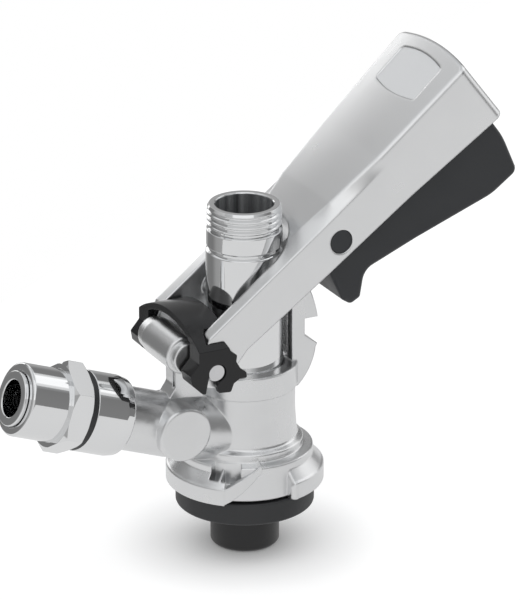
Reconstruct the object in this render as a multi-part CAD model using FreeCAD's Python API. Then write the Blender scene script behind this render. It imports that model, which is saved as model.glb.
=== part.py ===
"""Keg coupler with a squeeze-to-release lever that drives a beer probe into the keg valve.

Millimetres, +Z up. The origin is on the probe axis, in the plane of the washer face that
seals on the keg valve. +X points to the grip of the lever and -X to the gas arm.
"""
import math
import os

import FreeCAD, Part
from FreeCAD import Vector

# Probe and the bore it slides in
PROBE_R = 11.8
PROBE_FIT = 0.07
PROBE_TRAVEL = 13.5
PROBE_TOP = 97.3
BEER_BORE_R = 8.85
LOWER_BORE_R = 6.0
BORE_STEP_Z = 60.0
SPIGOT_R = 8.0
FOOT_R = 10.65
FOOT_BOTTOM = -13.7
FOOT_TOP = 6.0
SPIGOT_BOTTOM = -6.0
PROBE_SHOULDER_Z = 22.0
ORING_BELOW_TOP = 3.1
ORING_WIRE_R = 0.8

# Beer outlet thread, 5/8 inch pipe size
THREAD_R = 11.45
THREAD_PITCH = 1.814
THREAD_DEPTH = 0.8
THREAD_START = 90.3

# Body casting
FLANGE_R = 21.0
FLANGE_BOTTOM = 8.1
BARREL_TOP = 46.3
ORING_Z = BARREL_TOP - ORING_BELOW_TOP
CAVITY_R = 13.2
CAVITY_TOP = 27.5
RECESS_R = 17.0
RECESS_TOP = 11.2
LUG_R = 24.35
LUG_SWEEP = 127.0
LUG_STARTS = (-78.8, 101.2)
RAMP_SWEEP = 29.3

# Body washer
WASHER_R = 21.4
WASHER_TOP = 7.1
WASHER_BORE_R = 11.4

# Gas arm, measured along its axis from the elbow
ELBOW = Vector(-26.9, 0, 29.8)
ARM_TILT = 20.0
ARM_R = 9.8
ARM_END = 17.2
GAS_BORE_R = 4.5
ARM_SOCKET_R = 8.0
ARM_SOCKET_START = 9.2
JOINT_FIT = 0.1
SLEEVE_R = 12.5
SLEEVE_END = 31.0
GASKET_END = 33.0
HEX_ACROSS = 25.0
HEX_TURN = 15.7
HEX_END = 39.9
FITTING_R = 11.25
FITTING_END = 53.0
COLLET_SEAT = 52.2
COLLET_CHAMBER_R = 7.75
COLLET_R = 7.6
TUBE_R = 5.65
COLLET_TRAVEL = 0.9

# Lever hinge
HINGE = Vector(-19.5, 0, 53.0)
HINGE_PIN_R = 2.8
HINGE_PIN_HALF = 20.4
RUNNING_FIT = 0.07
EYE_R = 5.6
LEVER_REST = 38.0
LEVER_SWING = 32.0

# Lever casting, u along the lever from the hinge, v square to it
LEG_OUTER = 18.5
LEG_INNER = 14.0
SLOT_CENTRE_U = 35.0
CROTCH_WALL = 2.5
GRIP_END_U = 119.5
GRIP_CORNER_U = 117.3
GRIP_CORNER_R = 3.5
GRIP_EDGE_R = 1.2
END_WALL = 1.6
WINDOW_DEPTH = 0.7
PLATE_THICK = 0.45
PLATE_INSET = 0.1

# Pin drive between lever and probe
DRIVE_PIN_R = 2.5
DRIVE_PIN_IN = 9.6
DRIVE_PIN_OUT = 16.7
DRIVE_PIN_Z = 69.9
GROOVE_HALF = 2.6
GROOVE_DEPTH_TO = 17.0

# Trigger and latch
PIVOT_U = 54.7
PIVOT_V = 0.3
TRIGGER_PIN_R = 2.5
TRIGGER_PIN_HALF = 16.9
CAP_R = 3.75
CAP_FIT = 0.05
CAP_RECESS = 0.2
TRIGGER_HALF = 14.5
TRIGGER_WALL = 2.2
LATCH_HALF = 5.0
LATCH_REACH = 41.35
GUIDE_REACH = 41.0
GUIDE_HALF = 8.0

# Hinge clip
CLIP_CREST = 67.3
CLIP_ARCH_R = 36.0
CLIP_THICK = 2.0
CLIP_HALF = 20.9
CLIP_GAP = 0.3

# Relief valve in the cross barrel
RELIEF_X = -25.4
RELIEF_Z = 56.0
CROSS_R = 5.9
CROSS_NEAR = -10.3
CROSS_STUB = -13.3
CROSS_FAR = 11.0
RELIEF_BALL_R = 2.4
RELIEF_SEAT_R = 1.2
RELIEF_CHAMBER_R = 3.4
RELIEF_LIFT = 0.6

ORIGIN = Vector(0, 0, 0)
ALONG_X = Vector(1, 0, 0)
ALONG_Y = Vector(0, 1, 0)
ALONG_Z = Vector(0, 0, 1)


def corner_arc(before, here, after, radius):
    """Start, middle and end of the arc that rounds one corner of an outline."""
    if radius == 0:
        return here, here, here
    back = (before - here).normalize()
    ahead = (after - here).normalize()
    half = back.getAngle(ahead) / 2
    inward = (back + ahead).normalize()
    reach = radius / math.tan(half)
    middle = here + inward * (radius / math.sin(half) - radius)
    return here + back * reach, middle, here + ahead * reach


def outline(corners, plane):
    """Closed wire through (a, b) or (a, b, radius) corners laid out by the plane function."""
    points = [Vector(corner[0], corner[1], 0) for corner in corners]
    radii = [corner[2] if len(corner) > 2 else 0 for corner in corners]
    count = len(points)
    arcs = []
    for i in range(count):
        arcs.append(corner_arc(points[i - 1], points[i], points[(i + 1) % count], radii[i]))
    edges = []
    for i, (start, middle, end) in enumerate(arcs):
        if radii[i] > 0:
            edges.append(Part.Arc(plane(start), plane(middle), plane(end)).toShape())
        following = arcs[(i + 1) % count][0]
        if (following - end).Length > 1e-6:
            edges.append(Part.makeLine(plane(end), plane(following)))
    return Part.Wire(edges)


def on_xz(point):
    return Vector(point.x, 0, point.y)


def on_xy(point):
    return Vector(point.x, point.y, 0)


def turned(corners):
    """Solid of revolution about Z from a closed (r, z) outline."""
    return Part.Face(outline(corners, on_xz)).revolve(ORIGIN, ALONG_Z, 360)


def sector(corners, start, sweep):
    """Part of a turned ring, from a start angle over a sweep."""
    face = Part.Face(outline(corners, on_xz))
    face.rotate(ORIGIN, ALONG_Z, start)
    return face.revolve(ORIGIN, ALONG_Z, sweep)


def slab(corners, near, far):
    """Plate with an (x, z) outline, between two positions along Y."""
    face = Part.Face(outline(corners, on_xz))
    face.translate(ALONG_Y * near)
    return face.extrude(ALONG_Y * (far - near))


def pair_slab(corners, inner, outer):
    """Two mirrored plates, one on each side of the middle plane."""
    return slab(corners, -outer, -inner).fuse(slab(corners, inner, outer))


def cross_rod(radius, x, z, near, far):
    """Cylinder that lies along Y."""
    return Part.makeCylinder(radius, far - near, Vector(x, near, z), ALONG_Y)


def turned_on_y(corners, x, z):
    """Solid of revolution about a line along Y, from (r, y) corners."""
    shape = turned(corners)
    shape.rotate(ORIGIN, ALONG_X, -90)
    shape.translate(Vector(x, 0, z))
    return shape


def placed(shape, angle, origin):
    """Shape turned about Y and moved, as a new shape."""
    result = shape.copy()
    result.rotate(ORIGIN, ALONG_Y, angle)
    result.translate(origin)
    return result


def on_arm(shape):
    """Moves a shape built along Z onto the axis of the gas arm."""
    return placed(shape, ARM_TILT - 90, ELBOW)


def on_lever(shape):
    """Moves a shape built in the lever's own (u, w, v) axes to its place at rest."""
    return placed(shape, -LEVER_REST, HINGE)


def ring(radius, wire_radius, z):
    """O-ring about Z."""
    return Part.makeTorus(radius, wire_radius, Vector(0, 0, z), ALONG_Z)


def only_solid(shape):
    """The single solid of a Boolean result."""
    solids = shape.Solids
    if len(solids) != 1:
        raise ValueError("expected one solid, found %d" % len(solids))
    return solids[0]


def one_solid(shape):
    """The single solid of a Boolean result, with its split faces joined."""
    return only_solid(shape.removeSplitter())


def body_outside():
    """Flange, barrel and collar of the casting before its bores."""
    return turned([
        (0, FLANGE_BOTTOM), (FLANGE_R, FLANGE_BOTTOM), (FLANGE_R, 18.9, 0.6), (17.9, 19.4, 0.5),
        (17.9, 21.6, 0.6), (16.1, 22.8, 1.2), (15.5, 31), (15.5, 38.8, 0.3), (16.2, 38.9, 0.2),
        (16.2, BARREL_TOP, 0.4), (0, BARREL_TOP)])


def upright_section(corners, angle):
    """Outline in the upright plane through Z that stands at an angle."""
    wire = outline(corners, on_xz)
    wire.rotate(ORIGIN, ALONG_Z, angle)
    return wire


def ramp_section(angle, share):
    """Section of the run-in ramp at an angle, share 0 at the lug and 1 at its upper end."""
    radius = LUG_R + (21.2 - LUG_R) * share
    low = 7.6 + 9.9 * share ** 1.2
    high = 12.6 + 7.2 * share
    return upright_section([(18, low), (radius, low), (radius, high), (18, high + 0.3)], angle)


def nose_section(angle, drawn_in):
    """Section of a lug near its start, drawn in towards the flange by a length."""
    radius = LUG_R - drawn_in
    rim = 12.8 - drawn_in
    return upright_section([
        (18, 7.6), (radius, 7.6), (radius, rim), (radius - 0.65, rim + 0.5),
        (21 - drawn_in / 2, 16.5 - drawn_in / 2), (18, 16.5 - drawn_in / 2)], angle)


def bayonet_lugs():
    """Two lugs that turn under the neck of the keg, each with a rounded nose and a ramp."""
    lugs = None
    for start in LUG_STARTS:
        lug = sector(
            [(18, 7.6), (LUG_R, 7.6, 0.3), (LUG_R, 12.8, 0.5), (23.7, 13.3, 0.4), (21, 16.5),
             (18, 16.5)], start + 4, LUG_SWEEP - 4)
        nose = [nose_section(start + turn, drawn_in)
                for turn, drawn_in in ((0, 1.3), (0.9, 0.6), (2.2, 0.15), (4.5, 0.02))]
        steps = 4
        end = start + LUG_SWEEP
        ramp = [ramp_section(end - 1 + (RAMP_SWEEP + 1) * i / steps, i / steps)
                for i in range(steps + 1)]
        for sections in (nose, ramp):
            lug = lug.fuse(Part.makeLoft(sections, True, True))
        lugs = lug if lugs is None else lugs.fuse(lug)
    return lugs


def lug_pockets():
    """Hollows between the flange and the end of each lug, each crossed by a thin rib."""
    pockets = []
    for start in LUG_STARTS:
        end = start + LUG_SWEEP
        on_lug = sector([(18.4, 12.4), (22.4, 12.4), (22.4, 20), (18.4, 20)], end - 14, 14.5)
        on_ramp = sector([(18.4, 12.4), (21.3, 12.4), (21.3, 20), (18.4, 20)], end, 12)
        rib = sector([(18, 12), (23, 12), (23, 14.6), (18, 17.5)], end - 6, 2)
        pockets.append(on_lug.fuse(on_ramp).cut(rib))
    return pockets


def gas_fairing():
    """Rounded neck over the gas passage, which widens from the elbow to the barrel."""
    fairing = None
    for side in (-1, 1):
        at_elbow = Part.Wire(Part.makeCircle(9.4, Vector(-26.2, 2.6 * side, 30.2), ALONG_X))
        at_barrel = Part.Wire(Part.makeCircle(11.7, Vector(-8.5, 0.4 * side, 25.9), ALONG_X))
        half = Part.makeLoft([at_elbow, at_barrel], True, True)
        fairing = half if fairing is None else fairing.fuse(half)
    return fairing


def hinge_web():
    """Upright web that carries the hinge pin, with the barrel that crosses it."""
    web = slab(
        [(-30, 30), (-13.2, 30), (-13.2, 53), (-16.65, 58.6, 2), (-22.7, 61.2), (-27.5, 57),
         (-25, 52), (-25, 43, 1.5), (-27.2, 39.8), (-30, 37.5)], -3.5, 3.5)
    barrel = turned_on_y([
        (0, CROSS_STUB), (4.8, CROSS_STUB, 0.3), (4.8, CROSS_NEAR), (CROSS_R, CROSS_NEAR, 0.7),
        (CROSS_R, CROSS_FAR - 4.2), (CROSS_R - 0.6, CROSS_FAR), (0, CROSS_FAR)],
        RELIEF_X, RELIEF_Z)
    boss = cross_rod(6.3, HINGE.x, HINGE.z, -5.2, 5.2)
    return web.fuse(barrel).fuse(boss)


def rear_guide():
    """Toothed guide behind the probe that the latch runs down and catches under."""
    top_x = math.sqrt(GUIDE_REACH ** 2 - 20.6 ** 2) + HINGE.x
    low_x = math.sqrt(GUIDE_REACH ** 2 - 6.5 ** 2) + HINGE.x
    mid_x = math.sqrt(GUIDE_REACH ** 2 - 13.6 ** 2) + HINGE.x
    face = [
        Part.makeLine(Vector(11, 0, 38), Vector(11, 0, 46)),
        Part.makeLine(Vector(11, 0, 46), Vector(12.3, 0, 46.5)),
        Part.makeLine(Vector(12.3, 0, 46.5), Vector(12.3, 0, 74.5)),
        Part.makeLine(Vector(12.3, 0, 74.5), Vector(14.6, 0, 74.5)),
        Part.makeLine(Vector(14.6, 0, 74.5), Vector(top_x, 0, 73.6)),
        Part.Arc(Vector(top_x, 0, 73.6), Vector(mid_x, 0, 66.6), Vector(low_x, 0, 59.5)).toShape(),
        Part.makeLine(Vector(low_x, 0, 59.5), Vector(16.5, 0, 59.5)),
        Part.makeLine(Vector(16.5, 0, 59.5), Vector(16.5, 0, 54.2)),
        Part.makeLine(Vector(16.5, 0, 54.2), Vector(20.85, 0, 50.8)),
        Part.makeLine(Vector(20.85, 0, 50.8), Vector(20.3, 0, 49.7)),
        Part.Arc(Vector(20.3, 0, 49.7), Vector(18.7, 0, 44.1), Vector(14.2, 0, 37.9)).toShape(),
        Part.makeLine(Vector(14.2, 0, 37.9), Vector(11, 0, 38))]
    plate = Part.Face(Part.Wire(face))
    plate.translate(ALONG_Y * -GUIDE_HALF)
    guide = plate.extrude(ALONG_Y * (2 * GUIDE_HALF))
    channel = Part.makeBox(2.5, 9, 40, Vector(12.3, -4.5, 47.5))
    return guide.cut(channel)


def coupler_body():
    """The main casting: flange and lugs, barrel, gas arm, hinge web and latch guide."""
    casting = body_outside().fuse(bayonet_lugs())
    for pocket in lug_pockets():
        casting = casting.cut(pocket)
    casting = casting.fuse(gas_fairing()).fuse(Part.makeSphere(ARM_R, ELBOW))
    casting = casting.fuse(on_arm(turned([(0, 0), (ARM_R, 0), (ARM_R, ARM_END, 0.4), (0, ARM_END)])))
    boss = turned_on_y([(0, -13), (8.5, -13, 0.9), (8.5, 0), (0, 0)], -26.2, 31.0)
    casting = casting.fuse(boss).fuse(hinge_web()).fuse(rear_guide())

    bore_r = PROBE_R + PROBE_FIT
    hollow = turned([
        (0, 0), (RECESS_R, 0), (RECESS_R, RECESS_TOP), (CAVITY_R, RECESS_TOP),
        (CAVITY_R, CAVITY_TOP - 1.2), (bore_r, CAVITY_TOP), (bore_r, BARREL_TOP - 0.5),
        (bore_r + 1.5, BARREL_TOP + 1), (0, BARREL_TOP + 1)])
    casting = casting.cut(hollow)
    gas_way = turned([
        (0, -17.5), (GAS_BORE_R, -17.5), (GAS_BORE_R, ARM_SOCKET_START),
        (ARM_SOCKET_R, ARM_SOCKET_START), (ARM_SOCKET_R, ARM_END + 1), (0, ARM_END + 1)])
    casting = casting.cut(on_arm(gas_way))

    pin_hole = cross_rod(HINGE_PIN_R, HINGE.x, HINGE.z, -12, 12)
    chamber = turned_on_y([
        (0, -3.4), (2.0, -3.4), (2.0, -0.9), (RELIEF_SEAT_R, -0.9), (RELIEF_SEAT_R, 0),
        (RELIEF_CHAMBER_R, 0), (RELIEF_CHAMBER_R, CROSS_FAR + 1), (0, CROSS_FAR + 1)],
        RELIEF_X, RELIEF_Z)
    feed = Part.makeCylinder(0.8, 26, Vector(-24.4, -1.9, 30), ALONG_Z)
    return only_solid(casting.cut(pin_hole).cut(chamber).cut(feed))


def body_washer():
    """Rubber washer under the flange that seals on the keg valve."""
    neck_r = RECESS_R - JOINT_FIT
    return turned([
        (WASHER_BORE_R, 0, 0.5), (WASHER_R, 0, 0.9), (WASHER_R, WASHER_TOP, 0.6),
        (neck_r, WASHER_TOP), (neck_r, RECESS_TOP - 0.3, 0.4), (CAVITY_R, RECESS_TOP - 0.3, 0.4),
        (CAVITY_R, WASHER_TOP), (WASHER_BORE_R, WASHER_TOP, 0.5)])


def gas_sleeve():
    """Turned sleeve screwed into the arm; it houses the gas non-return valve."""
    spigot_r = ARM_SOCKET_R - JOINT_FIT
    return on_arm(turned([
        (5.5, 9.5), (spigot_r, 9.5, 0.4), (spigot_r, 17.3), (11.9, 17.3, 1.2), (SLEEVE_R, 20.5, 2),
        (SLEEVE_R, SLEEVE_END, 0.3), (8.3, SLEEVE_END), (8.3, 21), (5.5, 21)]))


def gas_check_valve():
    """Rubber duckbill that lets gas in and holds it when the line is off."""
    cup = turned([
        (0, 15.2), (1.0, 15.2), (3.6, 19.2), (4.6, 20.6), (4.6, 21), (7.2, 21), (7.2, 22.5),
        (3.4, 22.5), (3.4, 20.4), (0.5, 16.2), (0, 16.2)])
    slit = Part.makeBox(2.4, 0.3, 2.0, Vector(-1.2, -0.15, 15.0))
    return on_arm(one_solid(cup.cut(slit)))


def gas_gasket():
    """Flat seal between sleeve and push-in fitting."""
    return on_arm(turned([
        (8.4, SLEEVE_END), (12.4, SLEEVE_END, 0.4), (12.4, GASKET_END, 0.4), (8.4, GASKET_END)]))


def push_in_body():
    """Hexagon fitting that takes the gas tube."""
    across = HEX_ACROSS / math.sqrt(3)
    angles = [math.radians(60 * i + HEX_TURN) for i in range(6)]
    corners = [(across * math.cos(angle), across * math.sin(angle)) for angle in angles]
    hexagon = Part.Face(outline(corners, on_xy))
    hexagon.translate(ALONG_Z * GASKET_END)
    hexagon = hexagon.extrude(ALONG_Z * (HEX_END - GASKET_END))
    flat_r = HEX_ACROSS / 2
    bevel = turned([
        (0, GASKET_END), (flat_r + 0.2, GASKET_END), (across + 0.2, GASKET_END + 1.1),
        (across + 0.2, HEX_END - 1.1), (flat_r + 0.2, HEX_END), (0, HEX_END)])
    stem = turned([
        (0, 22.6), (8.2, 22.6, 0.4), (8.2, GASKET_END + 1), (FITTING_R, HEX_END - 1),
        (FITTING_R, FITTING_END, 1.0), (0, FITTING_END)])
    inside = turned([
        (0, 20), (3.6, 20), (3.6, 34.2), (TUBE_R + 0.1, 34.2), (TUBE_R + 0.1, 41.2),
        (COLLET_CHAMBER_R, 41.2), (COLLET_CHAMBER_R, COLLET_SEAT), (8.9, COLLET_SEAT),
        (8.9, FITTING_END + 1), (0, FITTING_END + 1)])
    return on_arm(one_solid(hexagon.common(bevel).fuse(stem).cut(inside)))


def tube_seal():
    """O-ring that the gas tube passes through."""
    return on_arm(ring(6.72, 1.0, 42.3))


def push_in_collet():
    """Collet that grips the gas tube and lets go when it is pushed in."""
    head_bottom = COLLET_SEAT + COLLET_TRAVEL + 0.1
    sleeve = turned([
        (TUBE_R, 44.3), (COLLET_R, 44.3, 0.3), (COLLET_R, 46.5), (7.0, 47.2), (7.0, head_bottom),
        (8.5, head_bottom), (8.5, head_bottom + 1.2, 0.5), (TUBE_R, head_bottom + 1.2, 0.5)])
    for angle in (0, 90):
        slit = Part.makeBox(20, 0.9, 6.5, Vector(-10, -0.45, 43.5))
        slit.rotate(ORIGIN, ALONG_Z, angle)
        sleeve = sleeve.cut(slit)
    return on_arm(one_solid(sleeve))


def hinge_pin():
    """Pin through the web and both lever legs."""
    return turned_on_y([
        (0, -HINGE_PIN_HALF), (HINGE_PIN_R, -HINGE_PIN_HALF, 0.4),
        (HINGE_PIN_R, HINGE_PIN_HALF, 0.4), (0, HINGE_PIN_HALF)], HINGE.x, HINGE.z)


def hub_outline():
    """Scalloped outer outline of one clip hub, about the hinge."""
    rim = [(-6.1, 10.5), (2.6, 10.5), (4.4, 6.4, 0.5), (6.5, 4.8, 0.8), (6.2, 2.7, 0.7), (7.6, 0.3, 0.9),
           (9.6, -1.3, 0.6), (9.8, -3.1, 0.5), (7.4, -3.0, 0.8), (5.4, -4.2, 0.8),
           (4.4, -6.8, 0.7), (1.2, -6.5, 0), (-5.1, -5.8, 1.2), (-8.5, -2.4, 1.0), (-9.0, 0.6, 0.8),
           (-7.7, 2.1, 0.7), (-6.1, 3.9, 0.8)]
    return [(HINGE.x + corner[0], HINGE.z + corner[1]) + corner[2:] for corner in rim]


def leg_clearance(gap):
    """Room for a lever leg and its eye, at rest."""
    low = LEG_INNER - CLIP_GAP
    high = LEG_OUTER + CLIP_GAP
    sweep = [(-3.8 - gap, 4.9), (5.2, 9.4 + gap), (20, 9.4 + gap), (20, -4), (1.5, -5.8)]
    room = pair_slab(sweep, low, high)
    for side in (-1, 1):
        start = low if side > 0 else -high
        room = room.fuse(cross_rod(EYE_R + 0.6, 0, 0, start, start + high - low))
    return on_lever(room)


def hinge_clip():
    """Sprung plastic clip that arches over the hinge and snaps onto both pin ends."""
    centre = CLIP_CREST - CLIP_ARCH_R
    under_crown = Part.makeCylinder(CLIP_ARCH_R, 30, Vector(-35, 0, centre), ALONG_X)
    arch = under_crown.cut(Part.makeCylinder(
        CLIP_ARCH_R - CLIP_THICK, 30, Vector(-35, 0, centre), ALONG_X))
    wide = Part.makeBox(5.1, 2 * CLIP_HALF, 20, Vector(-25.6, -CLIP_HALF, 57))
    tongue_half = LEG_INNER - 0.8
    tongue = Part.makeBox(11.6, 2 * tongue_half, 20, Vector(-25.6, -tongue_half, 57))
    band = arch.common(wide.fuse(tongue))
    plates = pair_slab(hub_outline(), LEG_OUTER + CLIP_GAP, CLIP_HALF).common(under_crown)
    left_half = Part.makeBox(6.5, 60, 18, Vector(HINGE.x - 9.5, -30, HINGE.z - 8))
    rims = pair_slab(hub_outline(), LEG_INNER + 0.3, CLIP_HALF).common(left_half)
    rims = rims.common(under_crown)
    clip = band.fuse(plates).fuse(rims)
    clip = clip.cut(leg_clearance(0.4))
    clip = clip.cut(cross_rod(HINGE_PIN_R + 0.1, HINGE.x, HINGE.z, -30, 30))
    mouth = slab([
        (HINGE.x - 2.7, HINGE.z), (HINGE.x + 1.9, HINGE.z - 1.6), (HINGE.x - 0.3, HINGE.z - 4.0),
        (HINGE.x + 1.4, HINGE.z - 9), (HINGE.x - 4.6, HINGE.z - 9), (HINGE.x - 3.4, HINGE.z - 3)],
        -30, 30)
    return one_solid(clip.cut(mouth))


def relief_cap():
    """Vented cap that closes the relief chamber on the far side."""
    plug_r = RELIEF_CHAMBER_R - JOINT_FIT
    end = CROSS_FAR + 1.2
    cap = turned_on_y([(0, 4.6), (plug_r, 4.6, 0.3), (plug_r, end, 0.5), (0, end)],
                      RELIEF_X, RELIEF_Z)
    pocket = turned_on_y([(0, 4), (2.5, 4), (2.5, 10.2), (0, 10.2)], RELIEF_X, RELIEF_Z)
    vent = cross_rod(0.8, RELIEF_X, RELIEF_Z, 10, end + 1)
    slot = Part.makeBox(8, 1.2, 1.1, Vector(RELIEF_X - 4, end - 1.2, RELIEF_Z - 0.55))
    return one_solid(cap.cut(pocket).cut(vent).cut(slot))


def coil(radius, wire_radius, pitch, height):
    """Coil spring along Z from z 0."""
    path = Part.Wire(Part.makeHelix(pitch, height, radius).Edges)
    heading = Vector(0, radius, pitch / (2 * math.pi)).normalize()
    section = Part.Wire(Part.makeCircle(wire_radius, Vector(radius, 0, 0), heading))
    return path.makePipeShell([section], True, True)


def relief_spring():
    """Spring that loads the relief ball."""
    start = math.sqrt(RELIEF_BALL_R ** 2 - RELIEF_SEAT_R ** 2) + RELIEF_BALL_R + RELIEF_LIFT
    wire_r = 0.3
    height = 10.0 - wire_r - (start + 0.1 + wire_r)
    spring = coil(1.9, wire_r, height / 3, height)
    spring.rotate(ORIGIN, ALONG_X, -90)
    spring.translate(Vector(RELIEF_X, start + 0.1 + wire_r, RELIEF_Z))
    return spring


def relief_ball():
    """Ball on the relief seat."""
    seat_height = math.sqrt(RELIEF_BALL_R ** 2 - RELIEF_SEAT_R ** 2)
    return Part.makeSphere(RELIEF_BALL_R, Vector(RELIEF_X, seat_height + 0.02, RELIEF_Z))


def probe_tube():
    """Hollow probe: beer outlet thread at the top, seal spigot at the bottom."""
    profile = [(LOWER_BORE_R, SPIGOT_BOTTOM), (SPIGOT_R, SPIGOT_BOTTOM, 0.5), (SPIGOT_R, FOOT_TOP),
               (FOOT_R, FOOT_TOP), (FOOT_R, PROBE_SHOULDER_Z - 1.15),
               (PROBE_R, PROBE_SHOULDER_Z), (PROBE_R, ORING_Z - 1.2), (10.2, ORING_Z - 1.2),
               (10.2, ORING_Z + 1.2), (PROBE_R, ORING_Z + 1.2), (PROBE_R, 82.6, 0.4),
               (10.9, 83.2), (10.9, 83.9), (11.6, 84.4, 0.3), (11.6, 89.4, 0.3), (10.6, 89.8)]
    root_r = THREAD_R - THREAD_DEPTH
    ridge = THREAD_START
    while ridge + THREAD_PITCH <= PROBE_TOP:
        profile += [(root_r, ridge + 0.15), (THREAD_R, ridge + 0.7), (THREAD_R, ridge + 1.1),
                    (root_r, ridge + 1.65)]
        ridge += THREAD_PITCH
    profile += [(root_r, ridge + 0.15), (THREAD_R - 0.2, ridge + 0.6), (THREAD_R - 0.2, ridge + 0.8),
                (root_r + 0.1, PROBE_TOP),
                (BEER_BORE_R + 0.3, PROBE_TOP), (BEER_BORE_R, PROBE_TOP - 0.4),
                (BEER_BORE_R, BORE_STEP_Z), (LOWER_BORE_R, BORE_STEP_Z - 4)]
    tube = turned(profile)
    for side in (-1, 1):
        inner = Vector(0, side * DRIVE_PIN_IN, DRIVE_PIN_Z)
        tube = tube.cut(Part.makeCylinder(DRIVE_PIN_R, 8, inner, ALONG_Y * side))
    return one_solid(tube)


def drive_pins():
    """Two stub pins in the probe that ride in the grooves of the lever legs."""
    pins = []
    for side in (-1, 1):
        start = Vector(0, side * DRIVE_PIN_IN, DRIVE_PIN_Z)
        length = DRIVE_PIN_OUT - DRIVE_PIN_IN
        pin = Part.makeCylinder(DRIVE_PIN_R, length - 0.4, start, ALONG_Y * side)
        tip = Part.makeCone(
            DRIVE_PIN_R, DRIVE_PIN_R - 0.4, 0.4, start + ALONG_Y * side * (length - 0.4),
            ALONG_Y * side)
        pins.append(one_solid(pin.fuse(tip)))
    return Part.makeCompound(pins)


def probe_oring():
    """Sliding seal of the probe in the upper bore."""
    return ring(PROBE_R + PROBE_FIT - ORING_WIRE_R - 0.02, ORING_WIRE_R, ORING_Z)


SEAT_R = 4.2
SEAT_Z = -9.0
BALL_R = 5.2
BALL_LIFT = 3.5


def ball_height():
    return SEAT_Z + math.sqrt(BALL_R ** 2 - SEAT_R ** 2) + 0.03


def probe_foot():
    """Rubber bottom seal of the probe with the seat of the beer check ball."""
    return turned([
        (SEAT_R + 1.4, FOOT_BOTTOM), (FOOT_R, FOOT_BOTTOM, 1.2), (FOOT_R, FOOT_TOP, 0.3),
        (SPIGOT_R, FOOT_TOP), (SPIGOT_R, SPIGOT_BOTTOM), (LOWER_BORE_R, SPIGOT_BOTTOM),
        (LOWER_BORE_R, SEAT_Z + 1.8), (SEAT_R, SEAT_Z), (SEAT_R, SEAT_Z - 1.5)])


def check_ball():
    """Ball that keeps beer from running back."""
    return Part.makeSphere(BALL_R, Vector(0, 0, ball_height()))


def ball_cage():
    """Spider above the check ball that keeps it in the probe."""
    bottom = ball_height() + BALL_R + BALL_LIFT + 0.4
    hoop = turned([
        (4.9, bottom), (LOWER_BORE_R, bottom, 0.2), (LOWER_BORE_R, bottom + 2.6, 0.2),
        (4.9, bottom + 2.6)])
    for angle in (0, 60, 120):
        spoke = Part.makeBox(10.4, 1.2, 1.6, Vector(-5.2, -0.6, bottom))
        spoke.rotate(ORIGIN, ALONG_Z, angle)
        hoop = hoop.fuse(spoke)
    return one_solid(hoop)


# Stations of the lever casting along u: lower edge, side half width, crease, ridge, crown
LEVER_STATIONS = (
    {"u": 5.0, "low": -2.8, "half": 18.5, "crease": 9.1, "ridge": (10.0, 9.4), "rise": 0.1},
    {"u": 45.0, "low": -4.7, "half": 18.5, "crease": 8.5, "ridge": (11.5, 10.0), "rise": 0.1},
    {"u": 60.0, "low": -5.2, "half": 18.5, "crease": 8.2, "ridge": (15.3, 11.2), "rise": 0.3},
    {"u": 80.0, "low": -5.9, "half": 18.5, "crease": 7.9, "ridge": (18.3, 12.0), "rise": 0.7},
    {"u": 122.0, "low": -7.4, "half": 20.6, "crease": 7.7, "ridge": (20.5, 14.5), "rise": 1.3})
RIDGE_ROUND = 1.3


def lever_section(station):
    """Section of the lever across u with rounded ridges and a crowned top."""
    ridge_w, ridge_v = station["ridge"]
    apex_v = ridge_v + 2 * station["rise"]
    ridge = Vector(ridge_w, ridge_v, 0)
    crease = Vector(station["half"], station["crease"], 0)
    apex = Vector(0, apex_v, 0)
    ridge_end = corner_arc(crease, ridge, apex, RIDGE_ROUND)[2]
    apex_half = math.pi / 2 - math.atan2(apex_v - ridge_v, ridge_w)
    crown_r = (apex - ridge_end).Length * math.tan(apex_half) * 0.9999
    corners = [
        (-station["half"], station["low"]), (-station["half"], station["crease"]),
        (-ridge_w, ridge_v, RIDGE_ROUND), (0, apex_v, crown_r), (ridge_w, ridge_v, RIDGE_ROUND),
        (station["half"], station["crease"]), (station["half"], station["low"])]
    return outline(corners, lambda point: Vector(station["u"], point.x, point.y))


def grip_plan():
    """Plan of the lever with its bowed, round-cornered end, as a tall block."""
    half_end = 18.55 + (GRIP_END_U - 80) * 0.05
    side = [(GRIP_CORNER_U, half_end), (80, 18.55), (-20, 18.55)]
    near = [Vector(u, -w, -40) for u, w in side]
    far = [Vector(u, w, -40) for u, w in side]
    edges = [Part.Arc(near[0], Vector(GRIP_END_U, 0, -40), far[0]).toShape()]
    for start, end in ((far[0], far[1]), (far[1], far[2]), (far[2], near[2]), (near[2], near[1]),
                       (near[1], near[0])):
        edges.append(Part.makeLine(start, end))
    block = Part.Face(Part.Wire(edges)).extrude(ALONG_Z * 80)
    corners = [edge for edge in block.Edges
               if is_upright(edge) and edge.BoundBox.XMin > GRIP_CORNER_U - 1]
    return block.makeFillet(GRIP_CORNER_R, corners)


def round_grip_end(block):
    """The lever with a soft edge between its top and the end of the grip."""
    rim = []
    for edge in block.Edges:
        box = edge.BoundBox
        at_end = box.XMin > GRIP_CORNER_U - GRIP_CORNER_R - 0.3
        if at_end and box.ZMin > 6 and box.ZLength < 9:
            rim.append(edge)
    return block.makeFillet(GRIP_EDGE_R, rim)


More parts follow.
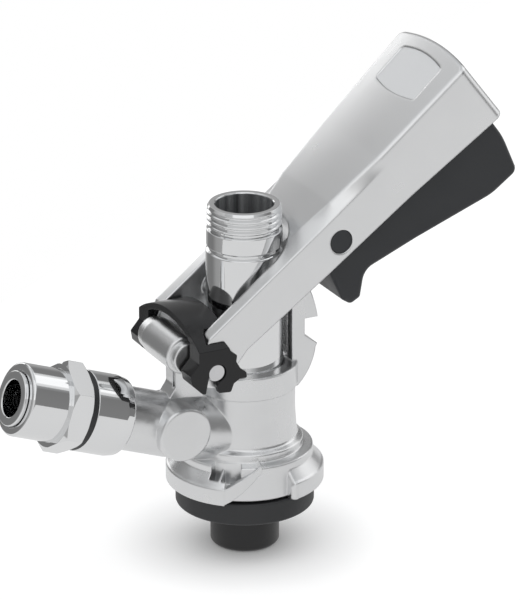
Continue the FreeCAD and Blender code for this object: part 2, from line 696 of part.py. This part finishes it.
def lever_block():
    """Outer form of the lever before it is hollowed."""
    loft = Part.makeLoft([lever_section(station) for station in LEVER_STATIONS], True, True)
    block = round_grip_end(loft.common(grip_plan()))
    eye = [(-3.3, 4.53), (5.4, 9.1), (12, 8.9), (12, -3.1), (1.5, -5.4)]
    legs = pair_slab(eye, LEG_INNER, LEG_OUTER)
    for near in (-LEG_OUTER, LEG_INNER):
        legs = legs.fuse(cross_rod(EYE_R, 0, 0, near, near + LEG_OUTER - LEG_INNER))
    return block.fuse(legs)


def cavity_section(u, half, top):
    corners = [(-half, -30), (-half, top, 1.5), (half, top, 1.5), (half, -30)]
    return outline(corners, lambda point: Vector(u, point.x, point.y))


def lever_cavity():
    """Hollow under the grip, with a front wall concentric to the probe slot."""
    end_u = GRIP_END_U - END_WALL
    hollow = Part.makeLoft([
        cavity_section(38, 15.9, 5.4), cavity_section(58, 15.9, 7.4), cavity_section(80, 16, 9.4),
        cavity_section(end_u, 17.8, 11.7)], True, True)
    wall = Part.makeCylinder(LEG_INNER + CROTCH_WALL, 90, Vector(SLOT_CENTRE_U, 0, -45), ALONG_Z)
    end_bow = Part.makeCylinder(87, 90, Vector(end_u - 87, 0, -45), ALONG_Z)
    return hollow.cut(wall).common(end_bow)


def groove_centre(share):
    """Drive pin centre in lever axes when the lever has swung by a share of its travel."""
    angle = math.radians(LEVER_REST - LEVER_SWING * share)
    dx = -HINGE.x
    dz = DRIVE_PIN_Z - HINGE.z - PROBE_TRAVEL * share
    return Vector(dx * math.cos(angle) + dz * math.sin(angle), 0,
                  -dx * math.sin(angle) + dz * math.cos(angle))


def drive_grooves():
    """Grooves in the inner leg faces that carry the probe's drive pins."""
    grooves = None
    shares = [i / 8 for i in range(-1, 10)]
    centres = [groove_centre(share) for share in shares]
    for near in (-GROOVE_DEPTH_TO, LEG_INNER - 0.5):
        length = GROOVE_DEPTH_TO - LEG_INNER + 0.5
        for i, centre in enumerate(centres):
            cutter = cross_rod(GROOVE_HALF, centre.x, centre.z, near, near + length)
            if i > 0:
                back = centres[i - 1]
                along = (centre - back).normalize()
                side = Vector(-along.z, 0, along.x) * GROOVE_HALF
                quad = [back + side, centre + side, centre - side, back - side]
                cutter = cutter.fuse(slab([(p.x, p.z) for p in quad], near, near + length))
            grooves = cutter if grooves is None else grooves.fuse(cutter)
    return grooves


def window_prism(inset, half):
    """Bowed rectangle for the name plate, as a tall block in lever axes."""
    left = GRIP_END_U - 19.0 + inset
    right = GRIP_END_U - 6.5 - inset
    near = [Vector(left, -half, 0), Vector(left - 1.5, 0, 0), Vector(left, half, 0)]
    far = [Vector(right, half, 0), Vector(right + 1.5, 0, 0), Vector(right, -half, 0)]
    edges = [
        Part.Arc(*near).toShape(), Part.makeLine(near[2], far[0]),
        Part.Arc(*far).toShape(), Part.makeLine(far[2], near[0])]
    prism = Part.Face(Part.Wire(edges)).extrude(ALONG_Z * 40)
    upright = prism.makeFillet(1.2, [edge for edge in prism.Edges if is_upright(edge)])
    return upright


def is_upright(edge):
    """True for straight edges along Z."""
    if len(edge.Vertexes) != 2:
        return False
    span = edge.Vertexes[1].Point - edge.Vertexes[0].Point
    return abs(span.z) > 1 and math.hypot(span.x, span.y) < 0.01


def lowered(shape, depth):
    result = shape.copy()
    result.translate(ALONG_Z * -depth)
    return result


def lever_handle():
    """Lever casting: two legs about the probe, hollow grip, trigger pivot, drive grooves."""
    block = lever_block()
    recess = window_prism(0, 12).cut(lowered(block, WINDOW_DEPTH))
    slot = Part.makeBox(60, 2 * LEG_INNER, 80, Vector(SLOT_CENTRE_U - 60, -LEG_INNER, -40))
    slot = slot.fuse(Part.makeCylinder(LEG_INNER, 80, Vector(SLOT_CENTRE_U, 0, -40), ALONG_Z))
    lever = block.cut(recess).cut(slot).cut(lever_cavity())
    latch_way = Part.makeBox(9, 2 * LATCH_HALF + 0.6, 40, Vector(46, -LATCH_HALF - 0.3, -39.8))
    lever = lever.cut(latch_way)
    lever = lever.cut(drive_grooves())
    lever = lever.cut(cross_rod(HINGE_PIN_R + RUNNING_FIT, 0, 0, -30, 30))
    lever = lever.cut(cross_rod(TRIGGER_PIN_R, PIVOT_U, PIVOT_V, -30, 30))
    for near, far in ((-30, -TRIGGER_PIN_HALF), (TRIGGER_PIN_HALF, 30)):
        lever = lever.cut(cross_rod(CAP_R + CAP_FIT, PIVOT_U, PIVOT_V, near, far))
    return on_lever(one_solid(lever))


def name_plate():
    """Blank inlay in the window on top of the grip."""
    block = lever_block()
    top = lowered(block, WINDOW_DEPTH - PLATE_THICK)
    bottom = lowered(block, WINDOW_DEPTH)
    return on_lever(one_solid(window_prism(PLATE_INSET, 12 - PLATE_INSET).common(top).cut(bottom)))


def trigger_pin():
    """Pivot of the trigger."""
    return on_lever(cross_rod(
        TRIGGER_PIN_R, PIVOT_U, PIVOT_V, -TRIGGER_PIN_HALF + 0.05, TRIGGER_PIN_HALF - 0.05))


def pin_caps():
    """Plastic caps over both ends of the trigger pin."""
    caps = []
    for side in (-1, 1):
        cap = turned([
            (0, TRIGGER_PIN_HALF), (CAP_R, TRIGGER_PIN_HALF),
            (CAP_R, LEG_OUTER - CAP_RECESS, 0.35), (0, LEG_OUTER - CAP_RECESS)])
        cap.rotate(ORIGIN, ALONG_X, -90 * side)
        cap.translate(Vector(PIVOT_U, 0, PIVOT_V))
        caps.append(on_lever(cap))
    return Part.makeCompound(caps)


TRIGGER_OUTLINE = [
    (114.9, -5.5, 1.5), (114.6, -17.6, 25), (111.4, -30.2, 2.6), (100.6, -29.8, 18),
    (73.7, -21.3, 60), (55.3, -16.2, 5.5), (48.9, -22.0, 1.3), (45.2, -21.4, 1.6),
    (44.1, -18.3, 2.5), (46.9, -5.8, 0.5), (50.8, -5.8, 0.4), (50.3, 2.0, 3.0),
    (54.7, 4.9, 4.0), (59.8, 2.6, 4.0), (64, -3.6, 3.0)]


def trigger():
    """Hollow plastic trigger: two cheeks, a floor and a closed front finger wall."""
    outer = slab(TRIGGER_OUTLINE, -TRIGGER_HALF, TRIGGER_HALF)
    rims = [edge for edge in outer.Edges if is_under_rim(edge)]
    outer = outer.makeFillet(1.6, rims)
    inner_wire = outline(TRIGGER_OUTLINE, on_xz).makeOffset2D(-TRIGGER_WALL)
    inner_half = TRIGGER_HALF - TRIGGER_WALL
    inner = Part.Face(inner_wire)
    inner.translate(ALONG_Y * -inner_half)
    inner = inner.extrude(ALONG_Y * (2 * inner_half))
    top = Part.makeBox(64.6, 2 * inner_half, 20, Vector(48.0, -inner_half, -9.5))
    opened = inner.fuse(top)
    hole = cross_rod(TRIGGER_PIN_R + RUNNING_FIT, PIVOT_U, PIVOT_V, -30, 30)
    return on_lever(one_solid(outer.cut(opened).cut(hole)))


def is_under_rim(edge):
    """True for the long lower edges of the trigger, on both outer faces."""
    box = edge.BoundBox
    on_side = abs(box.YMin - box.YMax) < 0.01 and abs(abs(box.YMin) - TRIGGER_HALF) < 0.01
    return on_side and box.ZMax < -7.5 and box.XMin > 56


def latch_bolt():
    """Sliding bolt that the trigger draws back from the guide."""
    tip_low = math.sqrt(LATCH_REACH ** 2 - 3.4 ** 2)
    plate = slab([
        (tip_low, -3.4, 0.3), (LATCH_REACH, -0.9), (LATCH_REACH + 0.8, -0.2), (50.3, -0.2),
        (50.3, -12, 0.4), (48.5, -12, 0.4), (48.5, -3.4, 0.5)], -LATCH_HALF, LATCH_HALF)
    return on_lever(plate)


def trigger_spring():
    """Torsion spring about the trigger pin, one leg under the grip, one on the trigger."""
    radius = 3.4
    wire_r = 0.4
    pitch = 1.0
    turns = 3.0
    lower = 7.0
    upper = 13.4
    helix = Part.makeHelix(pitch, pitch * turns, radius)
    start = Vector(radius, 0, 0)
    end = Vector(radius, 0, pitch * turns)
    lower_leg = Part.makeLine(start - ALONG_Y * lower, start)
    upper_leg = Part.makeLine(end, end + ALONG_Y * upper)
    path = Part.Wire([lower_leg] + helix.Edges + [upper_leg])
    section = Part.Wire(Part.makeCircle(wire_r, start - ALONG_Y * lower, ALONG_Y))
    spring = path.makePipeShell([section], True, True)
    spring.rotate(ORIGIN, ALONG_X, -90)
    spring.translate(Vector(PIVOT_U, 5.6, PIVOT_V))
    return on_lever(spring)


def write_part(name, shape):
    if not shape.isValid():
        raise ValueError("%s is not valid" % name)
    shape.exportStep(os.path.join("parts", name + ".step"))


def main():
    os.makedirs("parts", exist_ok=True)
    pieces = {
        "coupler_body": coupler_body,
        "body_washer": body_washer,
        "hinge_pin": hinge_pin,
        "hinge_clip": hinge_clip,
        "relief_cap": relief_cap,
        "relief_spring": relief_spring,
        "relief_ball": relief_ball,
        "gas_sleeve": gas_sleeve,
        "gas_check_valve": gas_check_valve,
        "gas_gasket": gas_gasket,
        "push_in_body": push_in_body,
        "tube_seal": tube_seal,
        "push_in_collet": push_in_collet,
        "lever_handle": lever_handle,
        "name_plate": name_plate,
        "trigger_pin": trigger_pin,
        "pin_caps": pin_caps,
        "trigger_spring": trigger_spring,
        "trigger": trigger,
        "latch_bolt": latch_bolt,
        "probe_tube": probe_tube,
        "drive_pins": drive_pins,
        "probe_oring": probe_oring,
        "probe_foot": probe_foot,
        "ball_cage": ball_cage,
        "check_ball": check_ball,
    }
    for name, build in pieces.items():
        write_part(name, build())


if __name__ == "__main__":
    main()
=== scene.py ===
"""Studio scene of the keg coupler: finishes for every piece, soft light and the photograph's view."""
import math

import bpy
from mathutils import Matrix, Vector


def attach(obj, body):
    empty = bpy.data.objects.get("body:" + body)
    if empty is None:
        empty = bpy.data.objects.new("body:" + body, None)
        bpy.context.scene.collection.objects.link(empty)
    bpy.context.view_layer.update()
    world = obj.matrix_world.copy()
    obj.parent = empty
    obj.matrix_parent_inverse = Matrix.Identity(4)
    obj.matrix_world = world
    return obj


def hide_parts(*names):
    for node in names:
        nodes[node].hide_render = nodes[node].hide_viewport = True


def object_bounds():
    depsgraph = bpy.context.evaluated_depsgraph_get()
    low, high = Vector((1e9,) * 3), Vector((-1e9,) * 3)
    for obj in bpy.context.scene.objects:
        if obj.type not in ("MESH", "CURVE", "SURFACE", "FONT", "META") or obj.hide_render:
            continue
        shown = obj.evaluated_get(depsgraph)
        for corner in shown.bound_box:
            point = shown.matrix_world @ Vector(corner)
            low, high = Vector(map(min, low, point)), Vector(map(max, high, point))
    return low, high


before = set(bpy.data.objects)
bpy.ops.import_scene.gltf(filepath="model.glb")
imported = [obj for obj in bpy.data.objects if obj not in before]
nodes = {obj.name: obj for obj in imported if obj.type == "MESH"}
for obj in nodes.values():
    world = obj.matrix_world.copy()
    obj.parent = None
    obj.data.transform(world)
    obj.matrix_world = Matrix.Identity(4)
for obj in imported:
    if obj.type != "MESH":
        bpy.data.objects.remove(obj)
cad_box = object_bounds()

MM = 0.001

# View of the photograph, in degrees from the -Y side and above the horizon
CAMERA_AZIMUTH = -27.0
CAMERA_ELEVATION = 21.8
CAMERA_DISTANCE = 1.400
CAMERA_AIM = Vector((5.3, 0.0, 64.8)) * MM
CAMERA_LENS = 276.0
CAMERA_CLIP_START = 0.05
CAMERA_CLIP_END = 50

# Gas arm, and the turn of its hexagon from the CAD to the photograph
GAS_ELBOW = Vector((-26.9, 0.0, 29.8)) * MM
GAS_ARM_TILT = math.radians(70)
GAS_AXIS = Vector((-math.sin(GAS_ARM_TILT), 0.0, math.cos(GAS_ARM_TILT)))
HEXAGON_TURN = math.radians(-11.7)

# Floor, whose far left edge lies at a distance from the origin, in a direction from the X axis
FLOOR_SIZE = 3.0
FLOOR_DROP = 0.0002
TABLE_EDGE = 0.17
TABLE_EDGE_AZIMUTH = math.radians(124.0)
FLOOR_COLOUR = (0.86, 0.86, 0.86)
# Reach of the painted shadow that darkens the floor's glow to the camera near the object
PAINTED_SHADOW_REACH = 28 * MM

# Share of the floor that glows, and its strength, for rays of the camera and from the metal
CAMERA_GLOW = (0.24, 2.6)
GLOSSY_GLOW = (0.80, 0.84)

# Brightness of the mirrored walls by direction: 0 is -X, 0.25 is -Y, 0.5 is +X, 0.75 is +Y
STUDIO_RING = (
    (0.00, 0.42), (0.06, 0.40), (0.09, 0.72), (0.20, 0.74), (0.25, 0.50), (0.30, 0.24),
    (0.455, 0.21), (0.47, 1.0), (0.545, 1.0), (0.565, 0.22), (0.63, 0.22), (0.66, 0.40),
    (0.75, 0.42), (0.79, 0.22), (0.86, 0.21), (0.93, 0.36), (1.00, 0.42))

# Share of the ceiling by height: 0 is straight down, 0.5 the horizon, 1 straight up
STUDIO_RISE = ((0.0, 0.0), (0.77, 0.0), (0.86, 1.0), (1.0, 1.0))
STUDIO_CEILING = (0.62, 0.63, 0.64)

# Part of the noise's range that is stretched over a roughness or a colour
NOISE_LOW = 0.3
NOISE_HIGH = 0.7
CLOUD_DETAIL = 3
EDGE_SAMPLES = 8

PLATE_CLOUD = 60
PLATE_RIPPLE_DETAIL = 4
PLATE_RIPPLE_DISTORTION = 0.3
PLATE_RIPPLE_HEIGHT = 0.0003
MOULD_CLOUD = 90
MOULD_SKIN_DETAIL = 2
MOULD_SKIN_HEIGHT = 0.0002
MOULD_SMOOTHER = 0.05
MOULD_ROUGHER = 0.08

# Bore: duller metal whose base colour holds painted reflection streaks, from dark to light
BORE_RADIUS = 8.95 * MM
BORE_PAINTED_DARK = (0.06, 0.065, 0.07)
BORE_PAINTED_LIGHT = (0.85, 0.86, 0.87)
BORE_PAINTED_STREAKS = 420
BORE_METALLIC = 0.75
BORE_ROUGHNESS = 0.22


def new_material(name, colour, metallic, roughness):
    """Principled material; returns it with its node tree and shader."""
    material = bpy.data.materials.new(name)
    material.use_nodes = True
    shader = material.node_tree.nodes["Principled BSDF"]
    shader.inputs["Base Color"].default_value = (*colour, 1)
    shader.inputs["Metallic"].default_value = metallic
    shader.inputs["Roughness"].default_value = roughness
    return material, material.node_tree, shader


def noise(tree, scale, detail, distortion=0.0):
    """Noise in object space, metres."""
    place = tree.nodes.new("ShaderNodeTexCoord")
    texture = tree.nodes.new("ShaderNodeTexNoise")
    texture.inputs["Scale"].default_value = scale
    texture.inputs["Detail"].default_value = detail
    texture.inputs["Distortion"].default_value = distortion
    tree.links.new(place.outputs["Object"], texture.inputs["Vector"])
    return texture


def ranged(tree, source, low, high):
    """Maps the middle of a noise's range onto a range of its own."""
    mapped = tree.nodes.new("ShaderNodeMapRange")
    mapped.inputs["From Min"].default_value = NOISE_LOW
    mapped.inputs["From Max"].default_value = NOISE_HIGH
    mapped.inputs["To Min"].default_value = low
    mapped.inputs["To Max"].default_value = high
    tree.links.new(source, mapped.inputs["Value"])
    return mapped.outputs["Result"]


def bumped(tree, shader, height, strength, distance, edge=0.0):
    """Adds a bump to the shader, over softened edges where edge is a radius."""
    bump = tree.nodes.new("ShaderNodeBump")
    bump.inputs["Strength"].default_value = strength
    bump.inputs["Distance"].default_value = distance
    tree.links.new(height, bump.inputs["Height"])
    if edge:
        soft = tree.nodes.new("ShaderNodeBevel")
        soft.samples = EDGE_SAMPLES
        soft.inputs["Radius"].default_value = edge
        tree.links.new(soft.outputs["Normal"], bump.inputs["Normal"])
    tree.links.new(bump.outputs["Normal"], shader.inputs["Normal"])


def blended(tree, factor, first, second):
    """Colour between two colours by a factor output."""
    mix = tree.nodes.new("ShaderNodeMix")
    mix.data_type = "RGBA"
    mix.inputs["A"].default_value = (*first, 1)
    mix.inputs["B"].default_value = (*second, 1)
    tree.links.new(factor, mix.inputs["Factor"])
    return mix.outputs["Result"]


def plated(name, colour, worn, smooth, rough, grain, ripple, edge):
    """Metal or chrome plate, clouded in colour and roughness, with a fine ripple."""
    material, tree, shader = new_material(name, colour, 1.0, smooth)
    cloud = noise(tree, PLATE_CLOUD, CLOUD_DETAIL)
    tree.links.new(ranged(tree, cloud.outputs["Fac"], smooth, rough), shader.inputs["Roughness"])
    tree.links.new(blended(tree, cloud.outputs["Fac"], colour, worn), shader.inputs["Base Color"])
    skin = noise(tree, grain, PLATE_RIPPLE_DETAIL, PLATE_RIPPLE_DISTORTION)
    bumped(tree, shader, skin.outputs["Fac"], ripple, PLATE_RIPPLE_HEIGHT, edge)
    return material


def moulded(name, colour, light, roughness, grain, depth, edge, gloss=0.5):
    """Moulded plastic or rubber with a fine skin."""
    material, tree, shader = new_material(name, colour, 0.0, roughness)
    shader.inputs["Specular IOR Level"].default_value = gloss
    cloud = noise(tree, MOULD_CLOUD, CLOUD_DETAIL)
    tree.links.new(blended(tree, cloud.outputs["Fac"], colour, light), shader.inputs["Base Color"])
    smooth = roughness - MOULD_SMOOTHER
    rough = roughness + MOULD_ROUGHER
    tree.links.new(ranged(tree, cloud.outputs["Fac"], smooth, rough), shader.inputs["Roughness"])
    skin = noise(tree, grain, MOULD_SKIN_DETAIL)
    bumped(tree, shader, skin.outputs["Fac"], depth, MOULD_SKIN_HEIGHT, edge)
    return material


def painted_streak_metal(tree, place):
    """Duller metal with painted reflection streaks along the bore, from a place without height."""
    streaked_metal = tree.nodes.new("ShaderNodeBsdfPrincipled")
    streaks = tree.nodes.new("ShaderNodeTexNoise")
    streaks.inputs["Scale"].default_value = BORE_PAINTED_STREAKS
    tree.links.new(place, streaks.inputs["Vector"])
    shade = ranged(tree, streaks.outputs["Fac"], 0.0, 1.0)
    # Painted reflection: streaks of dark and light in the base colour stand in for what the bore
    # mirrors
    tree.links.new(blended(tree, shade, BORE_PAINTED_DARK, BORE_PAINTED_LIGHT), streaked_metal.inputs["Base Color"])
    streaked_metal.inputs["Metallic"].default_value = BORE_METALLIC
    streaked_metal.inputs["Roughness"].default_value = BORE_ROUGHNESS
    return streaked_metal


def bored(material):
    """Gives the surfaces within the bore's radius of the Z axis the duller metal with painted
    reflection streaks.
    """
    tree = material.node_tree
    place = tree.nodes.new("ShaderNodeTexCoord")
    flat = tree.nodes.new("ShaderNodeVectorMath")
    flat.operation = "MULTIPLY"
    flat.inputs[1].default_value = (1, 1, 0)
    tree.links.new(place.outputs["Object"], flat.inputs[0])
    away = tree.nodes.new("ShaderNodeVectorMath")
    away.operation = "LENGTH"
    tree.links.new(flat.outputs["Vector"], away.inputs[0])
    inside = tree.nodes.new("ShaderNodeMath")
    inside.operation = "LESS_THAN"
    inside.inputs[1].default_value = BORE_RADIUS
    tree.links.new(away.outputs["Value"], inside.inputs[0])
    streaked_metal = painted_streak_metal(tree, flat.outputs["Vector"])
    both = tree.nodes.new("ShaderNodeMixShader")
    tree.links.new(inside.outputs["Value"], both.inputs["Fac"])
    tree.links.new(tree.nodes["Principled BSDF"].outputs[0], both.inputs[1])
    tree.links.new(streaked_metal.outputs[0], both.inputs[2])
    tree.links.new(both.outputs[0], tree.nodes["Material Output"].inputs["Surface"])


def turned_plate(name):
    """Bright plate of the turned pieces."""
    return plated(name, colour=(0.82, 0.825, 0.83), worn=(0.78, 0.785, 0.79),
                  smooth=0.04, rough=0.07, grain=300, ripple=0.012, edge=0.15 * MM)


cast_chrome = plated("cast_chrome", colour=(0.81, 0.815, 0.82), worn=(0.76, 0.765, 0.77),
                     smooth=0.25, rough=0.33, grain=240, ripple=0.25, edge=0.7 * MM)
turned_chrome = turned_plate("turned_chrome")
probe_chrome = turned_plate("probe_chrome")
bored(probe_chrome)
satin_metal = plated("satin_metal", colour=(0.82, 0.825, 0.83), worn=(0.80, 0.805, 0.81),
                     smooth=0.27, rough=0.31, grain=1400, ripple=0.025, edge=1.1 * MM)
bright_steel = plated("bright_steel", colour=(0.70, 0.70, 0.71), worn=(0.62, 0.62, 0.63),
                      smooth=0.14, rough=0.22, grain=700, ripple=0.05, edge=0.2 * MM)
black_plastic = moulded("black_plastic", colour=(0.024, 0.026, 0.029), light=(0.031, 0.033, 0.037),
                        roughness=0.42, grain=2600, depth=0.10, edge=0.3 * MM)
clip_plastic = moulded("clip_plastic", colour=(0.008, 0.008, 0.009), light=(0.012, 0.012, 0.013),
                       roughness=0.17, grain=1800, depth=0.05, edge=0.3 * MM, gloss=0.42)
black_rubber = moulded("black_rubber", colour=(0.026, 0.027, 0.029), light=(0.036, 0.037, 0.039),
                       roughness=0.50, grain=1500, depth=0.15, edge=0.4 * MM)
foot_rubber = moulded("foot_rubber", colour=(0.012, 0.012, 0.013), light=(0.018, 0.018, 0.019),
                      roughness=0.44, grain=1500, depth=0.15, edge=0.4 * MM)
plate_plastic = moulded("plate_plastic", colour=(0.90, 0.91, 0.92), light=(0.92, 0.93, 0.94),
                        roughness=0.46, grain=1200, depth=0.02, edge=0.0)
ball_plastic = moulded("ball_plastic", colour=(0.72, 0.72, 0.70), light=(0.78, 0.78, 0.76),
                       roughness=0.30, grain=900, depth=0.03, edge=0.0)

FINISHES = {
    "coupler_body": cast_chrome,
    "body_washer": black_rubber,
    "hinge_pin": bright_steel,
    "hinge_clip": clip_plastic,
    "relief_cap": turned_chrome,
    "relief_spring": bright_steel,
    "relief_ball": bright_steel,
    "gas_sleeve": turned_chrome,
    "gas_check_valve": black_rubber,
    "gas_gasket": black_rubber,
    "push_in_body": turned_chrome,
    "tube_seal": black_rubber,
    "push_in_collet": turned_chrome,
    "lever_handle": satin_metal,
    "name_plate": plate_plastic,
    "trigger_pin": bright_steel,
    "pin_caps": black_plastic,
    "trigger_spring": bright_steel,
    "trigger": black_plastic,
    "latch_bolt": turned_chrome,
    "probe_tube": probe_chrome,
    "drive_pins": bright_steel,
    "probe_oring": black_rubber,
    "probe_foot": foot_rubber,
    "ball_cage": bright_steel,
    "check_ball": ball_plastic,
}


def dress(piece, material):
    """Gives a piece its finish."""
    slots = piece.data.materials
    if len(slots) == 0:
        slots.append(material)
    for i in range(len(slots)):
        slots[i] = material


for name, material in FINISHES.items():
    dress(nodes[name], material)


def turned_fitting():
    """Copy of the push-in fitting with its hexagon turned to the photograph's place."""
    mesh = nodes["push_in_body"].data.copy()
    mesh.name = "push_in_hexagon"
    piece = bpy.data.objects.new("push_in_hexagon", mesh)
    bpy.context.scene.collection.objects.link(piece)
    to_elbow = Matrix.Translation(GAS_ELBOW)
    turn = Matrix.Rotation(HEXAGON_TURN, 4, GAS_AXIS)
    mesh.transform(to_elbow @ turn @ to_elbow.inverted())
    dress(piece, turned_chrome)
    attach(piece, "body")
    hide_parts("push_in_body")


def glow_for(tree, ray, surface, diffuse, glow, share):
    """Surface output that shows one kind of ray the diffuse floor with a share of glow."""
    path = tree.nodes.new("ShaderNodeLightPath")
    lit = tree.nodes.new("ShaderNodeMixShader")
    lit.inputs["Fac"].default_value = share
    tree.links.new(diffuse.outputs[0], lit.inputs[1])
    tree.links.new(glow.outputs[0], lit.inputs[2])
    chosen = tree.nodes.new("ShaderNodeMixShader")
    tree.links.new(path.outputs[ray], chosen.inputs["Fac"])
    tree.links.new(surface, chosen.inputs[1])
    tree.links.new(lit.outputs[0], chosen.inputs[2])
    return chosen.outputs[0]


def glowing(tree, strength):
    """White glow of a strength."""
    glow = tree.nodes.new("ShaderNodeEmission")
    glow.inputs["Strength"].default_value = strength
    return glow


def floor_material():
    """Diffuse floor with a glow for the camera, darkened near the object as a painted shadow, and one
    for the metal.
    """
    material = bpy.data.materials.new("floor_white")
    material.use_nodes = True
    tree = material.node_tree
    tree.nodes.clear()
    diffuse = tree.nodes.new("ShaderNodeBsdfDiffuse")
    diffuse.inputs["Color"].default_value = (*FLOOR_COLOUR, 1)
    share, strength = CAMERA_GLOW
    glow = glowing(tree, strength)
    # Painted shadow: occlusion darkens the floor's glow to the camera near the object
    painted_shadow = tree.nodes.new("ShaderNodeAmbientOcclusion")
    painted_shadow.inputs["Distance"].default_value = PAINTED_SHADOW_REACH
    tree.links.new(painted_shadow.outputs["Color"], glow.inputs["Color"])
    surface = glow_for(tree, "Is Camera Ray", diffuse.outputs[0], diffuse, glow, share)
    share, strength = GLOSSY_GLOW
    surface = glow_for(tree, "Is Glossy Ray", surface, diffuse, glowing(tree, strength), share)
    output = tree.nodes.new("ShaderNodeOutputMaterial")
    tree.links.new(surface, output.inputs["Surface"])
    return material


def add_floor():
    """Pale floor just under the object, which keeps its shadow and has a painted shadow added near
    it.
    """
    mesh = bpy.data.meshes.new("floor")
    half = FLOOR_SIZE / 2
    height = cad_box[0].z - FLOOR_DROP
    middle = TABLE_EDGE / math.sin(TABLE_EDGE_AZIMUTH)
    slope = -1 / math.tan(TABLE_EDGE_AZIMUTH)
    corners = [(-half, -half, height), (half, -half, height), (half, middle + slope * half, height),
               (-half, middle - slope * half, height)]
    mesh.from_pydata(corners, [], [(0, 1, 2, 3)])
    floor = bpy.data.objects.new("floor", mesh)
    bpy.context.scene.collection.objects.link(floor)
    mesh.materials.append(floor_material())


def spread(tree, source, low, high):
    """Maps a range of an output onto 0 to 1."""
    mapped = tree.nodes.new("ShaderNodeMapRange")
    mapped.inputs["From Min"].default_value = low
    mapped.inputs["From Max"].default_value = high
    tree.links.new(source, mapped.inputs["Value"])
    return mapped.outputs["Result"]


def grey_ramp(tree, source, stops, interpolation):
    """Greys by their place along a 0 to 1 output."""
    ramp = tree.nodes.new("ShaderNodeValToRGB")
    ramp.color_ramp.interpolation = interpolation
    elements = ramp.color_ramp.elements
    while len(elements) < len(stops):
        elements.new(0.5)
    for element, (position, value) in zip(elements, stops):
        element.position = position
        element.color = (value, value, value, 1)
    tree.links.new(source, ramp.inputs["Fac"])
    return ramp.outputs["Color"]


def mirrored_room(tree):
    """Ring of lighter and darker walls under a grey ceiling, by direction."""
    place = tree.nodes.new("ShaderNodeTexCoord")
    split = tree.nodes.new("ShaderNodeSeparateXYZ")
    tree.links.new(place.outputs["Generated"], split.inputs[0])
    around = tree.nodes.new("ShaderNodeMath")
    around.operation = "ARCTAN2"
    tree.links.new(split.outputs["Y"], around.inputs[0])
    tree.links.new(split.outputs["X"], around.inputs[1])
    turn = spread(tree, around.outputs[0], -math.pi, math.pi)
    rise = spread(tree, split.outputs["Z"], -1, 1)
    room = tree.nodes.new("ShaderNodeMix")
    room.data_type = "RGBA"
    room.inputs["B"].default_value = (*STUDIO_CEILING, 1)
    tree.links.new(grey_ramp(tree, rise, STUDIO_RISE, "LINEAR"), room.inputs["Factor"])
    tree.links.new(grey_ramp(tree, turn, STUDIO_RING, "EASE"), room.inputs["A"])
    return room.outputs["Result"]


def add_studio():
    """World that is white to the camera, and is the room for what is mirrored and for light."""
    world = bpy.data.worlds.new("studio")
    bpy.context.scene.world = world
    world.use_nodes = True
    tree = world.node_tree
    tree.nodes.clear()
    path = tree.nodes.new("ShaderNodeLightPath")
    seen = tree.nodes.new("ShaderNodeMix")
    seen.data_type = "RGBA"
    seen.inputs["B"].default_value = (1, 1, 1, 1)
    tree.links.new(path.outputs["Is Camera Ray"], seen.inputs["Factor"])
    tree.links.new(mirrored_room(tree), seen.inputs["A"])
    background = tree.nodes.new("ShaderNodeBackground")
    output = tree.nodes.new("ShaderNodeOutputWorld")
    tree.links.new(seen.outputs["Result"], background.inputs["Color"])
    tree.links.new(background.outputs[0], output.inputs["Surface"])


def aim_from(piece, azimuth, elevation, distance):
    """Places a lamp or the camera by degrees from the -Y side and above the horizon, and aims it."""
    a = math.radians(azimuth)
    e = math.radians(elevation)
    back = Vector((math.sin(a) * math.cos(e), -math.cos(a) * math.cos(e), math.sin(e)))
    piece.location = CAMERA_AIM + back * distance
    piece.rotation_mode = "QUATERNION"
    piece.rotation_quaternion = (-back).to_track_quat("-Z", "Y")


def add_lamp(name, azimuth, elevation, distance, size, power):
    """Soft square lamp aimed at the object."""
    data = bpy.data.lights.new(name, "AREA")
    data.shape = "SQUARE"
    data.size = size
    data.energy = power
    lamp = bpy.data.objects.new(name, data)
    bpy.context.scene.collection.objects.link(lamp)
    aim_from(lamp, azimuth, elevation, distance)


def add_camera():
    """Camera at the photograph's view."""
    data = bpy.data.cameras.new("camera")
    data.lens = CAMERA_LENS
    data.clip_start = CAMERA_CLIP_START
    data.clip_end = CAMERA_CLIP_END
    camera = bpy.data.objects.new("camera", data)
    bpy.context.scene.collection.objects.link(camera)
    aim_from(camera, CAMERA_AZIMUTH, CAMERA_ELEVATION, CAMERA_DISTANCE)
    bpy.context.scene.camera = camera


turned_fitting()
add_floor()
add_studio()
add_lamp("key", azimuth=-32, elevation=55, distance=1.2, size=1.2, power=1.7)
add_lamp("side", azimuth=93, elevation=45, distance=1.4, size=1.1, power=1.6)
add_lamp("back", azimuth=232, elevation=46, distance=1.2, size=1.1, power=0.7)
add_lamp("low", azimuth=184, elevation=12, distance=1.2, size=0.5, power=0.8)
add_lamp("near", azimuth=180, elevation=38, distance=0.37, size=0.15, power=0.032)
add_camera()

bpy.context.scene.view_settings.view_transform = "Standard"
